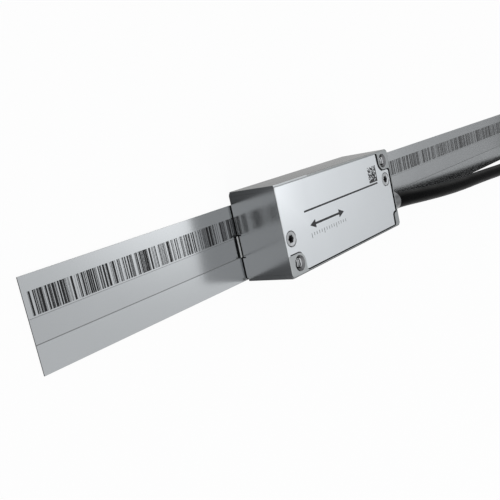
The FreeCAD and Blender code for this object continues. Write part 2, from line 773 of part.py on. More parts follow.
def make_contact_insert():
    profile = [
        (insert_rear, 0),
        (cup_floor, 0),
        (cup_floor, INSERT_FLANGE_RADIUS - INSERT_CUP_WALL),
        (insert_front, INSERT_FLANGE_RADIUS - INSERT_CUP_WALL),
        (insert_front, INSERT_FLANGE_RADIUS),
        (flange_rear, INSERT_FLANGE_RADIUS),
        (flange_rear, INSERT_RADIUS),
        (insert_rear, INSERT_RADIUS),
    ]
    return turned(profile).cut(pins(PIN_RADIUS + PIN_SLIP, insert_rear - 1, cup_floor + 1))


def make_contact_pins():
    return Part.makeCompound(pins(PIN_RADIUS, insert_rear, cup_floor + PIN_REACH))


def make_coupling_nut():
    """Knurled ring with a threaded nose, held between the grip and the insert's flange."""
    neck = INSERT_RADIUS + NUT_CLEARANCE
    bore = INSERT_FLANGE_RADIUS + NUT_CLEARANCE
    edge = KNURL_RADIUS
    profile = [
        (nut_rear, neck),
        (nut_shoulder, neck),
        (nut_shoulder, bore),
        (nut_front, bore),
        (nut_front, NUT_THREAD_RADIUS - edge / 2),
        (nut_front - edge / 2, NUT_THREAD_RADIUS),
        (nut_neck_front, NUT_THREAD_RADIUS),
        (nut_neck_front, NUT_NECK_RADIUS),
        (nut_head_front, NUT_NECK_RADIUS),
        (nut_head_front, NUT_RADIUS - edge),
        (nut_head_front - edge, NUT_RADIUS),
        (nut_rear + edge, NUT_RADIUS),
        (nut_rear, NUT_RADIUS - edge),
    ]
    grooves = []
    along = FreeCAD.Vector(1, 0, 0)
    for i in range(KNURLS):
        angle = 2 * math.pi * (i + 0.5) / KNURLS
        place = FreeCAD.Vector(nut_rear - 1, NUT_RADIUS * math.cos(angle), NUT_RADIUS * math.sin(angle))
        grooves.append(Part.makeCylinder(KNURL_RADIUS, NUT_LENGTH + 1 - edge, place, along))
    return turned(profile).cut(grooves)


def make_plug_ring():
    """Seal ring in the groove behind the thread."""
    return Part.makeTorus(
        NUT_NECK_RADIUS + PLUG_RING_SECTION + PIN_SLIP,
        PLUG_RING_SECTION,
        FreeCAD.Vector(nut_head_front + PLUG_RING_SECTION + PIN_SLIP, 0, 0),
        FreeCAD.Vector(1, 0, 0),
    )


plain_nodes = {
    "scale_tape": make_scale_tape,
    "adhesive_film": make_adhesive_film,
    "signal_cable": make_signal_cable,
    "cable_hank": make_cable_hank,
    "hank_tie": make_hank_tie,
    "cable_tail": make_cable_tail,
}
head_nodes = {
    "head_housing": make_head_housing,
    "cover_plate": make_cover_plate,
    "cover_gasket": make_cover_gasket,
    "cover_screws": make_cover_screws,
    "scanning_reticle": make_scanning_reticle,
    "optics_carrier": make_optics_carrier,
    "condenser_lens": make_condenser_lens,
    "lens_retainer": make_lens_retainer,
    "infrared_lamp": make_lamp,
    "photo_sensor": make_photo_sensor,
    "circuit_board": make_circuit_board,
    "board_screws": make_board_screws,
    "processor_chip": make_processor_chip,
    "line_driver_chip": make_line_driver,
    "clock_crystal": make_clock_crystal,
    "chip_capacitors": make_chip_capacitors,
    "wire_header": make_wire_header,
    "cable_wires": make_cable_wires,
    "cable_sleeve": make_cable_sleeve,
}
plug_nodes = {
    "plug_grip": make_plug_grip,
    "contact_insert": make_contact_insert,
    "contact_pins": make_contact_pins,
    "coupling_nut": make_coupling_nut,
    "plug_ring": make_plug_ring,
}

os.makedirs("parts", exist_ok=True)
groups = [
    (plain_nodes, FreeCAD.Vector(0, 0, 0)),
    (head_nodes, head_place),
    (plug_nodes, FreeCAD.Vector(*PLUG_PLACE)),
]
for nodes, place in groups:
    for name, make in nodes.items():
        shape = make()
        shape.translate(place)
        shape.exportStep(f"parts/{name}.step")
        print(name, len(shape.Solids), "valid" if shape.isValid() else "NOT VALID", round(shape.Volume, 2))
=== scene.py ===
"""Linear encoder: looks of the steel scale tape, the scanning head over it and the head's cable.

Metres, in the packed model's frame: X along the tape, Y across it and Z up from its bonded side.
"""
import math

import bmesh
import bpy
from bpy.props import FloatProperty, FloatVectorProperty, IntProperty, PointerProperty
from bpy.types import Operator, Panel, PropertyGroup
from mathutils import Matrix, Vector


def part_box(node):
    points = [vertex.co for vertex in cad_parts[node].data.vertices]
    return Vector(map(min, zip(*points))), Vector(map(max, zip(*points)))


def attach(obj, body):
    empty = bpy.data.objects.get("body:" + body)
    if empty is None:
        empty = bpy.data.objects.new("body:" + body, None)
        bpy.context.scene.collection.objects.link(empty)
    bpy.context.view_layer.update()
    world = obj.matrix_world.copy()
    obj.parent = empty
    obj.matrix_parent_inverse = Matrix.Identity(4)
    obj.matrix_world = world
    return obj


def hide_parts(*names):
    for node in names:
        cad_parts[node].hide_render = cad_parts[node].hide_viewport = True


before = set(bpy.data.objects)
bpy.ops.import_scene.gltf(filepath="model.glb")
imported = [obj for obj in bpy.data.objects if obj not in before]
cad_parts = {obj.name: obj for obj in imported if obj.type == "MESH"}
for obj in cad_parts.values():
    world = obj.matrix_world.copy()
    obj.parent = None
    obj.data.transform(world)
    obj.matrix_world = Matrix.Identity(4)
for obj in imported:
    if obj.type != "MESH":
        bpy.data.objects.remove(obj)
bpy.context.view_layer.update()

bl_info = {
    "name": "Linear encoder",
    "version": (1, 0, 0),
    "blender": (4, 5, 0),
    "location": "View3D > Sidebar > Encoder",
    "description": "Graduation, prints, screws, threads, cable and finishes of a linear encoder",
    "category": "Object",
}

MM = 0.001
TAPE_LOW, TAPE_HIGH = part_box("scale_tape")
COVER_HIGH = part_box("cover_plate")[1]
HOUSING_LOW, HOUSING_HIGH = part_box("head_housing")
NUT_LOW, NUT_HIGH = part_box("coupling_nut")

# Places on the head along X and Y, in millimetres
MOUNT_HOLES = ((-63.8, -6.05), (-21.9, 8.75))
COVER_SCREWS = ((-65.0, -0.45), (-21.95, 4.0))
# Painted highlight rings down each mounting hole, where the thread's ridges catch the light: upper
# and lower edge, in millimetres below the front
HIGHLIGHT_RINGS = (((0.5, 0.95), (1.12, 2.2)), ((0.5, 2.2),))
# Painted shade at the ends of each mounting hole: their middles across the tape, in millimetres
# from its axis
SHADED_HOLE_ENDS = ((-1.2, 1.12), (-1.05, 1.08))


def length(label, about, millimetres):
    return FloatProperty(
        name=label, description=about, default=millimetres * MM, unit="LENGTH", precision=5
    )


def factor(label, about, value):
    return FloatProperty(name=label, description=about, default=value)


def count(label, about, value):
    return IntProperty(name=label, description=about, default=value)


def colour(label, about, red, green, blue):
    return FloatVectorProperty(
        name=label, description=about, default=(red, green, blue), subtype="COLOR", min=0, max=1
    )


class StageSetting(PropertyGroup):
    """Camera, floor and light."""

    camera_place: FloatVectorProperty(
        name="Camera place",
        description="Where the camera stands",
        default=(-0.17741, 0.02258, 0.10102),
        subtype="TRANSLATION",
        precision=5,
    )
    camera_turn: FloatVectorProperty(
        name="Camera turn",
        description="How the camera is turned",
        default=tuple(math.radians(a) for a in (5.19451, -48.96442, -19.26290)),
        subtype="EULER",
        precision=5,
    )
    camera_lens: FloatProperty(
        name="Lens", description="Focal length", default=49.74, unit="CAMERA"
    )
    floor_side: length("Floor", "Half the side of the floor", 12000)
    room_low: factor("Room low", "Light from low round the room", 0.40)
    room_high: factor("Room high", "Light from above", 0.70)
    panel: factor("Panel", "Added by the panel beyond the head", 0.77)


class CableForm(PropertyGroup):
    """Cable from the head to its plug."""

    diameter: length("Diameter", "Outside of the cable's jacket", 3.7)
    swell: factor("Swell", "How much thicker the jacket is in the run from the head", 1.13)
    fold_radius: length("Fold radius", "Radius of the hank's folds", 11.1)
    hank_left: length("Left fold", "Middle of the hank's left fold along the tape", 162.95)
    hank_right: length("Right fold", "Middle of the hank's right fold along the tape", 216.95)
    hank_middle: length("Hank middle", "Middle of the hank across the tape", -0.5)
    hank_low: length("Lowest layer", "Height of the first turn", 2.65)
    turns: count("Turns", "Full turns of the hank", 4)


class ScaleMarks(PropertyGroup):
    """Graduation on the face of the tape."""

    code_low: length("Code low", "Lower edge of the code track across the tape", 1.55)
    code_high: length("Code high", "Upper edge of the code track across the tape", 5.75)
    finest: length("Finest bar", "Narrowest bar or gap of the code", 0.04)
    widest: length("Widest bar", "Broadest bar or gap of the code", 0.5)
    fineness: factor("Fineness", "How much the fine bars outnumber the broad ones", 1.7)
    raised: length("Raised", "How far the graduation stands on the steel", 0.006)
    border_at: length("Border line", "Place of the fine line under the code", 1.25)
    border_width: length("Border width", "Width of the fine line under the code", 0.09)
    divider_at: length("Divider line", "Place of the line under the fine track", -3.17)
    divider_width: length("Divider width", "Width of the line under the fine track", 0.17)
    seed: count("Seed", "Start of the code's sequence", 63)


class CoverPrint(PropertyGroup):
    """Marks printed on the cover of the head."""

    rule_left: length("Rule left", "Left end of the printed rule", -58.75)
    rule_right: length("Rule right", "Right end of the printed rule", -26.25)
    rule_at: length("Rule place", "Place of the printed rule across the cover", 3.9)
    rule_width: length("Rule width", "Width of the printed rule", 0.4)
    block_left: length("Block left", "Left edge of the dotted block", -29.9)
    block_low: length("Block low", "Lower edge of the dotted block", 4.4)
    block_side: length("Block side", "Side of the dotted block", 3.9)
    block_cells: count("Cells", "Dots along a side of the block", 14)
    arrow_at: length("Arrow place", "Place of the travel arrow across the cover", 0.6)
    arrow_length: length("Arrow length", "Length of the travel arrow", 14)
    tick_pitch: length("Tick pitch", "From tick to tick under the arrow", 1.0)
    raised: length("Raised", "How far the ink stands on the cover", 0.008)
    seed: count("Seed", "Start of the dots' sequence", 5)


class ScrewForm(PropertyGroup):
    """Countersunk screws of the cover and threads of the holes and the plug."""

    head_radius: length("Head radius", "Radius of a cover screw's head", 1.7)
    shank_radius: length("Shank radius", "Radius of a cover screw's shank", 1.0)
    screw_length: length("Screw length", "Length of a cover screw", 5.0)
    socket_radius: length("Socket radius", "Middle radius of the hexalobular socket", 0.68)
    socket_depth: length("Socket depth", "Depth of the hexalobular socket", 1.3)
    hole_radius: length("Hole radius", "Radius of the mounting holes", 1.25)
    hole_pitch: length("Hole pitch", "Pitch of the mounting holes' thread", 0.5)
    plug_radius: length("Plug radius", "Radius of the plug's thread", 5.86)
    plug_pitch: length("Plug pitch", "Pitch of the plug's thread", 1.0)


class Finishes(PropertyGroup):
    """Colours of the surfaces that show most."""

    tape: colour("Tape", "Rolled steel of the scale", 0.60, 0.615, 0.625)
    graduation: colour("Graduation", "Dark lines of the code", 0.018, 0.018, 0.019)
    fine_line: colour("Fine lines", "Lines beside the fine track", 0.22, 0.225, 0.23)
    housing: colour("Housing", "Ground metal of the housing", 0.40, 0.405, 0.41)
    housing_front: colour("Housing front", "Satin front of the housing's rim", 0.516, 0.533, 0.537)
    # Painted shade, for the lower edge of the housing's front and the cover screws' seats
    housing_rim: colour("Lower rim", "Lower edge of the housing's front", 0.296, 0.300, 0.304)
    # Painted shade: the mouths of the mounting holes are darkened
    mouth: colour("Mouths", "Turned mouths of the mounting holes", 0.23, 0.23, 0.235)
    # Painted highlight: the pale rings down the mounting holes
    hole_ring: colour("Hole rings", "Pale rings down the mounting holes", 0.95, 0.955, 0.955)
    cover: colour("Cover", "Satin metal of the cover", 0.815, 0.84, 0.86)
    # Painted highlight: the cover's paler left corner
    cover_corner: colour("Cover corner", "Paler corner of the cover", 0.95, 0.975, 0.995)
    screws: colour("Screws", "Steel of the cover's screws", 0.56, 0.57, 0.58)
    ink: colour("Ink", "Print on the cover", 0.012, 0.012, 0.014)
    cable: colour("Cable", "Jacket of the cable", 0.0003, 0.0003, 0.0004)
    grip: colour("Grip", "Moulded body of the plug", 0.014, 0.014, 0.015)
    ring: colour("Ring", "Seal ring of the plug", 0.42, 0.03, 0.02)


def add(tree, kind, inputs=None, **settings):
    """A node with its settings, whose inputs are linked or set by name or by number."""
    node = tree.nodes.new(kind)
    for key, value in settings.items():
        setattr(node, key, value)
    for key, value in (inputs or {}).items():
        if isinstance(key, str):
            socket = next(s for s in node.inputs if s.name == key and s.enabled)
        else:
            socket = node.inputs[key]
        if isinstance(value, bpy.types.NodeSocket):
            tree.links.new(value, socket)
        else:
            socket.default_value = value
    return node


def put(*node, **settings):
    """The first output of such a node."""
    return add(*node, **settings).outputs[0]


def math_node(tree, operation, *values):
    return put(tree, "ShaderNodeMath", dict(enumerate(values)), operation=operation)


def vector_node(tree, operation, *values):
    return put(tree, "ShaderNodeVectorMath", dict(enumerate(values)), operation=operation)


def combine(tree, x=0.0, y=0.0, z=0.0):
    return put(tree, "ShaderNodeCombineXYZ", {"X": x, "Y": y, "Z": z})


def map_range(tree, value, low, high, start, end, **settings):
    ranges = {0: value, "From Min": low, "From Max": high, "To Min": start, "To Max": end}
    return put(tree, "ShaderNodeMapRange", ranges, **settings)


def live(node):
    """The output that a node's settings leave enabled."""
    return next(s for s in node.outputs if s.enabled)


def mix_node(tree, kind, share, first, second):
    inputs = {"Factor": share, "A": first, "B": second}
    return live(add(tree, "ShaderNodeMix", inputs, data_type=kind))


FLOAT, VECTOR, INTEGER, MATERIAL = (
    "NodeSocketFloat",
    "NodeSocketVector",
    "NodeSocketInt",
    "NodeSocketMaterial",
)


def node_group(name, kind, inputs, output, socket):
    """An empty node group, its inputs by name and the function that ends it."""
    tree = bpy.data.node_groups.new(name, kind)
    for label, form in inputs.items():
        tree.interface.new_socket(label, in_out="INPUT", socket_type=form)
    tree.interface.new_socket(output, in_out="OUTPUT", socket_type=socket)
    given = tree.nodes.new("NodeGroupInput").outputs
    made = tree.nodes.new("NodeGroupOutput").inputs

    def close(value):
        tree.links.new(value, made[output])
        return tree

    return tree, given, close


def geometry_tree(name, floats, **others):
    """An empty geometry tree with inputs for plain values, for others and for its material."""
    inputs = {**dict.fromkeys(floats.split(), FLOAT), **others, "Material": MATERIAL}
    tree, given, end = node_group(
        name, "GeometryNodeTree", inputs, "Geometry", "NodeSocketGeometry"
    )

    def close(geometry):
        real = put(tree, "GeometryNodeRealizeInstances", {"Geometry": geometry})
        painted = {"Geometry": real, "Material": given["Material"]}
        return end(put(tree, "GeometryNodeSetMaterial", painted))

    return tree, given, close


def points_at(tree, number, place):
    points = put(tree, "GeometryNodePoints", {"Count": number})
    return put(tree, "GeometryNodeSetPosition", {"Geometry": points, "Position": place})


def blocks(tree, points, wide, tall, raised, chosen=True):
    """A block at each chosen point, which stands raised and goes as deep."""
    size = combine(tree, wide, tall, math_node(tree, "MULTIPLY", raised, 2.0))
    cube = put(tree, "GeometryNodeMeshCube", {"Size": (1, 1, 1)})
    inputs = {"Points": points, "Selection": chosen, "Instance": cube, "Scale": size}
    return put(tree, "GeometryNodeInstanceOnPoints", inputs)


def link(name, data):
    piece = bpy.data.objects.new(name, data)
    bpy.context.scene.collection.objects.link(piece)
    return piece


def grown(name, tree, material, **values):
    """A plain mesh piece from a geometry tree, a material and the values of its named inputs."""
    values["Material"] = material
    piece = link(name, bpy.data.meshes.new(name))
    modifier = piece.modifiers.new("nodes", "NODES")
    modifier.node_group = tree
    for item in tree.interface.items_tree:
        if item.in_out == "INPUT":
            modifier[item.identifier] = values[item.name]
    depsgraph = bpy.context.evaluated_depsgraph_get()
    mesh = bpy.data.meshes.new_from_object(piece.evaluated_get(depsgraph), depsgraph=depsgraph)
    if not mesh.polygons:
        raise RuntimeError(name + " came out empty")
    piece.modifiers.remove(modifier)
    piece.data = mesh
    mesh.name = name
    return piece


def lofted(name, solids, material):
    """A piece of closed solids, each given as loops of points that go counterclockwise about Z."""
    mesh = bmesh.new()
    for loops in solids:
        rings = [[mesh.verts.new(p) for p in loop] for loop in loops]
        for lower, upper in zip(rings, rings[1:]):
            for i in range(len(lower)):
                mesh.faces.new((lower[i - 1], lower[i], upper[i], upper[i - 1]))
        mesh.faces.new(rings[0][::-1])
        mesh.faces.new(rings[-1])
    data = bpy.data.meshes.new(name)
    mesh.to_mesh(data)
    mesh.free()
    data.shade_smooth()
    data.set_sharp_from_angle(angle=math.radians(25))
    data.materials.append(material)
    return link(name, data)


def slab(outline, low, high):
    """The two loops of a flat solid between two heights."""
    return [[(x, y, z) for x, y in outline] for z in (low, high)]


def printed(name, outlines, face, raised, material):
    """Flat marks of some outlines that stand a little on a face."""
    marks = [slab(outline, face - raised, face + raised) for outline in outlines]
    return lofted(name, marks, material)


def rectangle(left, low, right, high):
    return [(left, low), (right, low), (right, high), (left, high)]


def uneven_group():
    """A tone round 1 that drifts over the surface, as metal and rubber do."""
    inputs = {"Vector": VECTOR, "Scale": FLOAT, "Amount": FLOAT}
    tree, given, close = node_group("uneven_tone", "ShaderNodeTree", inputs, "Tone", FLOAT)
    noise = put(
        tree,
        "ShaderNodeTexNoise",
        {"Vector": given["Vector"], "Scale": given["Scale"], "Detail": 4.0, "Roughness": 0.6},
    )
    swing = map_range(tree, noise, 0.3, 0.7, -1.0, 1.0)
    return close(math_node(tree, "MULTIPLY_ADD", swing, given["Amount"], 1.0))


def grain_group():
    """Height of a fine grain, drawn out along the axis with the smallest stretch."""
    inputs = {"Vector": VECTOR, "Stretch": VECTOR}
    tree, given, close = node_group("surface_grain", "ShaderNodeTree", inputs, "Height", FLOAT)
    drawn = vector_node(tree, "MULTIPLY", given["Vector"], given["Stretch"])
    waves = {"Vector": drawn, "Scale": 1.0, "Detail": 3.0, "Roughness": 0.55}
    return close(put(tree, "ShaderNodeTexNoise", waves))


def region_group():
    """1 inside a box and 0 outside it, with a soft border inside."""
    inputs = {"Vector": VECTOR, "Centre": VECTOR, "Half": VECTOR, "Soft": FLOAT}
    tree, given, close = node_group("box_region", "ShaderNodeTree", inputs, "Mask", FLOAT)
    offset = vector_node(tree, "SUBTRACT", given["Vector"], given["Centre"])
    away = vector_node(tree, "ABSOLUTE", offset)
    within = vector_node(tree, "SUBTRACT", given["Half"], away)
    x, y, z = add(tree, "ShaderNodeSeparateXYZ", {0: within}).outputs
    nearest = math_node(tree, "MINIMUM", math_node(tree, "MINIMUM", x, y), z)
    return close(map_range(tree, nearest, 0.0, given["Soft"], 0.0, 1.0))


GROUPS = {"uneven_tone": uneven_group, "surface_grain": grain_group, "box_region": region_group}


class Finish:
    """A material that drifts in colour and roughness, with a grain and boxes of another finish."""

    def __init__(self, name, colour, roughness, metallic, tone, grain, regions=(), **sockets):
        self.material = bpy.data.materials.new(name)
        self.material.use_nodes = True
        self.tree = tree = self.material.node_tree
        links = tree.links
        shader = tree.nodes["Principled BSDF"]
        self.where = add(tree, "ShaderNodeTexCoord").outputs["Object"]
        tint, metal = (*colour, 1.0), metallic
        for low, high, other_tint, other_roughness, soft, bare in regions:
            low, high = Vector(low), Vector(high)
            inside = self.group(
                "box_region", Centre=(low + high) / 2, Half=(high - low) / 2, Soft=soft * MM
            )
            tint = mix_node(tree, "RGBA", inside, tint, (*other_tint, 1.0))
            roughness = mix_node(tree, "FLOAT", inside, roughness, other_roughness)
            if bare:
                metal = mix_node(tree, "FLOAT", inside, metal, 0.0)
        if not regions:
            tint = tint[:3]
        scale, amount = tone
        drift = self.group("uneven_tone", Scale=scale, Amount=amount)
        toned = put(tree, "ShaderNodeVectorMath", {0: tint, "Scale": drift}, operation="SCALE")
        links.new(toned, shader.inputs["Base Color"])
        drift = self.group("uneven_tone", Scale=2.3 * scale, Amount=2 * amount)
        links.new(math_node(tree, "MULTIPLY", drift, roughness), shader.inputs["Roughness"])
        stretch, strength, depth = grain
        height = self.group("surface_grain", Stretch=stretch)
        bumps = {"Strength": strength, "Distance": depth * MM, "Height": height}
        links.new(put(tree, "ShaderNodeBump", bumps), shader.inputs["Normal"])
        if metal is metallic:
            shader.inputs["Metallic"].default_value = metallic
        else:
            links.new(metal, shader.inputs["Metallic"])
        for key, value in sockets.items():
            shader.inputs[key.replace("_", " ")].default_value = value

    def group(self, name, **inputs):
        tree = bpy.data.node_groups.get(name) or GROUPS[name]()
        inputs["Vector"] = self.where
        return put(self.tree, "ShaderNodeGroup", inputs, node_tree=tree)


# Waves per metre of a grain along X, of a grain round X and of one that is the same all round
ALONG = (300, 9000, 9000)
TURNED = (7000, 900, 900)
EVEN = (5000, 5000, 5000)
# Grain of most moulded pieces: stretch, strength and depth in millimetres
MOULDED = (EVEN, 0.2, 0.02)

# Colour or its name in the panel, roughness, metallic, drift (scale, amount) and grain
RECIPES = {
    "scale_steel": ("tape", 0.19, 1.0, (45, 0.015), (ALONG, 0.05, 0.01)),
    "graduation": ("graduation", 0.30, 0.0, (400, 0.1), (EVEN, 0.1, 0.005)),
    "fine_line": ("fine_line", 0.30, 0.6, (400, 0.05), (ALONG, 0.05, 0.005)),
    "bond_film": ((0.05, 0.05, 0.05), 0.5, 0.0, (90, 0.1), MOULDED),
    "housing_metal": ("housing", 0.165, 1.0, (70, 0.02), (ALONG, 0.05, 0.01)),
    "cover_metal": ("cover", 0.30, 1.0, (70, 0.012), (ALONG, 0.08, 0.02)),
    "ink": ("ink", 0.45, 0.0, (400, 0.1), (EVEN, 0.1, 0.005)),
    "seal_rubber": ((0.003, 0.003, 0.0035), 0.6, 0.0, (90, 0.1), MOULDED),
    "screw_steel": ("screws", 0.32, 1.0, (300, 0.05), (EVEN, 0.1, 0.01)),
    # Painted shade in the screws' sockets and under their heads
    "socket_dark": ((0.02, 0.02, 0.021), 0.6, 0.0, (300, 0.1), MOULDED),
    "hole_thread": ((0.95, 0.96, 0.97), 0.2, 1.0, (300, 0.05), (EVEN, 0.1, 0.01)),
    "optical_glass": ((0.96, 0.98, 0.97), 0.03, 0.0, (90, 0.02), (EVEN, 0.01, 0.001)),
    "optics_black": ((0.02, 0.02, 0.02), 0.7, 0.0, (90, 0.1), (EVEN, 0.3, 0.02)),
    "retainer_black": ((0.03, 0.03, 0.03), 0.4, 0.0, (90, 0.1), (EVEN, 0.2, 0.01)),
    "lamp_resin": ((0.85, 0.83, 0.76), 0.2, 0.0, (90, 0.05), (EVEN, 0.1, 0.01)),
    "sensor_chip": ((0.06, 0.05, 0.11), 0.15, 0.3, (200, 0.1), (EVEN, 0.1, 0.005)),
    "board_green": ((0.012, 0.13, 0.055), 0.4, 0.0, (120, 0.08), MOULDED),
    "chip_black": ((0.016, 0.016, 0.017), 0.55, 0.0, (120, 0.1), (EVEN, 0.3, 0.02)),
    "crystal_can": ((0.72, 0.71, 0.68), 0.25, 1.0, (120, 0.05), (ALONG, 0.1, 0.01)),
    "ceramic_tan": ((0.36, 0.23, 0.13), 0.5, 0.0, (200, 0.1), MOULDED),
    "header_ivory": ((0.72, 0.68, 0.56), 0.45, 0.0, (120, 0.05), MOULDED),
    "wiper_white": ((0.6, 0.61, 0.61), 0.6, 0.0, (400, 0.03), MOULDED),
    "wire_grey": ((0.30, 0.30, 0.31), 0.5, 0.0, (120, 0.1), MOULDED),
    "sleeve_metal": ((0.22, 0.225, 0.23), 0.3, 1.0, (150, 0.05), (TURNED, 0.25, 0.02)),
    "cable_black": ("cable", 0.3, 0.0, (50, 0.12), MOULDED),
    "tie_black": ((0.014, 0.014, 0.015), 0.8, 0.0, (150, 0.15), (EVEN, 0.6, 0.1)),
    "grip_black": ("grip", 0.55, 0.0, (80, 0.1), (EVEN, 0.4, 0.04)),
    "insert_dark": ((0.03, 0.03, 0.034), 0.5, 0.0, (150, 0.1), MOULDED),
    "contact_gold": ((0.90, 0.64, 0.24), 0.2, 1.0, (150, 0.05), (TURNED, 0.1, 0.01)),
    "nut_nickel": ((0.62, 0.605, 0.57), 0.2, 1.0, (120, 0.05), (TURNED, 0.15, 0.02)),
    "ring_red": ("ring", 0.5, 0.0, (120, 0.08), MOULDED),
}

# Constants of the shader for some of them
CONSTANTS = {
    "graduation": {"Specular_IOR_Level": 0.14},
    "housing_metal": {"Specular_Tint": (0.27, 0.273, 0.27, 1)},
    "seal_rubber": {"Specular_IOR_Level": 0.1},
    "optical_glass": {"IOR": 1.52, "Transmission_Weight": 1.0},
    "cable_black": {"Specular_IOR_Level": 0.012},
}


def finish_regions(colours):
    """Boxes of another finish, by material, from the first painted to the last.

    Each has its low and high corner, colour, roughness, soft border in millimetres, and whether
    it is bare, which means no metal.
    """
    hair, far = 0.01 * MM, 20 * MM
    left, low, _ = HOUSING_LOW
    right, high, front = HOUSING_HIGH
    tape_left, tape_right, cover = TAPE_LOW.x, TAPE_HIGH.x, COVER_HIGH.z
    before, below, beyond, above = left - far, low - far, high + far, front + far
    along, across, about = (before, right + far), (below, beyond), (-far, far)
    bore, mouth, seat, stripe = 1.3, 1.8, 1.72, 0.24
    dull, satin, polished = 0.5, 0.30, 0.165
    cut = (0.08, 0.08, 0.085)
    # Painted shade, near black, for the bores, the notches, the hole ends and the deep threads
    dark = (0.02, 0.02, 0.02)
    worn = (0.008, 0.008, 0.0085)
    track = [0.94 * v for v in colours.tape]
    # Painted light: bars to the right of the head are made paler
    paler_bars = [0.045 + v for v in colours.graduation]
    marks = bpy.context.scene.encoder_marks

    def box(x, y, z, tint, roughness, soft=0.001, bare=False):
        return (*zip(x, y, z), tint, roughness, soft, bare)

    def span(middle, half):
        return (middle - half) * MM, (middle + half) * MM

    def hole(place, radius, top, depth, tint, roughness, bare=False):
        x, y = (span(v, radius) for v in place)
        return box(x, y, (top - depth * MM, top - hair), tint, roughness, bare=bare)

    ends = (front - 3 * MM, front - 0.51 * MM)
    # Painted shade: near black stripes at the two ends of each mounting hole
    hole_end_shade = [
        box(span(x, bore), span(y + side, stripe), ends, dark, dull, bare=True)
        for (x, y), sides in zip(MOUNT_HOLES, SHADED_HOLE_ENDS)
        for side in sides
    ]
    # Painted highlight along the top edge of the front at the left end
    x, y, z = (before, left + 12 * MM), (high - 0.28 * MM, beyond), (front - 0.4 * MM, above)
    rim_highlight = box(x, y, z, colours.cover, satin, 0.05)
    # Painted shade along the lower edge of the housing's front
    y, z = (below, low + 0.3 * MM), (front - 0.5 * MM, above)
    lower_rim_shade = box(along, y, z, colours.housing_rim, satin, 0.05)
    front_rim = box(along, across, (front - 0.2 * MM, above), colours.housing_front, satin)
    # Painted shade in the end notch under its roof
    x, y, z = (left + 0.05 * MM, left + MM), (-3.2 * MM, 1.65 * MM), (0.5 * MM, 1.2 * MM)
    notch = box(x, y, z, dark, 0.9, bare=True)
    # Painted highlight: the cover's left corner made paler
    x, y, z = (before, left + 10 * MM), (0, beyond), (front - far, above)
    corner = box(x, y, z, colours.cover_corner, satin, 9)
    x, z = (before, left + 0.04 * MM), (0, cover - 0.2 * MM)
    end_face = box(x, across, z, colours.housing, polished)
    # Painted shade on the threads more than 2.2 mm under the front
    deep = box((left, right), (low, high), (0, front - 2.2 * MM), dark, dull)
    return {
        "scale_steel": (
            box((tape_left, tape_right), (marks.divider_at, marks.border_at), (0, far), track, 0.2),
            box((tape_left - far, tape_left + hair), about, about, cut, dull),
            box((tape_right - hair, tape_right + far), about, about, cut, dull),
        ),
        "cable_black": (box((0.105, 0.4), about, about, worn, 0.35, 10),),
        # Painted light: the bars right of the head are paler
        "graduation": (box((right, tape_right + far), about, about, paler_bars, 0.3, 3),),
        "housing_metal": (
            front_rim,
            lower_rim_shade,
            rim_highlight,
            notch,
            # Painted shade on the mouths of the mounting holes
            *(hole(p, mouth, front, 0.52, colours.mouth, 0.22) for p in MOUNT_HOLES),
            # Painted shade: the bores darkened below their mouths
            *(hole(p, bore, front - 0.5 * MM, 12, dark, dull, True) for p in MOUNT_HOLES),
            # Painted highlight: pale rings down each mounting hole
            *(
                hole(p, bore, front - top * MM, end - top, colours.hole_ring, dull)
                for p, rings in zip(MOUNT_HOLES, HIGHLIGHT_RINGS)
                for top, end in rings
            ),
            *hole_end_shade,
        ),
        # Painted shade on the threads deep down and at the holes' ends
        "hole_thread": (deep, *hole_end_shade),
        "cover_metal": (
            corner,
            end_face,
            # Painted shade in the seats round the cover screws
            *(hole(p, seat, cover, 0.9, colours.housing_rim, 0.35) for p in COVER_SCREWS),
        ),
    }


def finish(name):
    """The material of that name, made when it is first asked for."""
    if name not in MADE:
        colours = bpy.context.scene.encoder_finishes
        tint, *rest = RECIPES[name]
        tint = getattr(colours, tint) if isinstance(tint, str) else tint
        regions = finish_regions(colours).get(name, ())
        MADE[name] = Finish(name, tint, *rest, regions, **CONSTANTS.get(name, {})).material
    return MADE[name]


MADE = {}


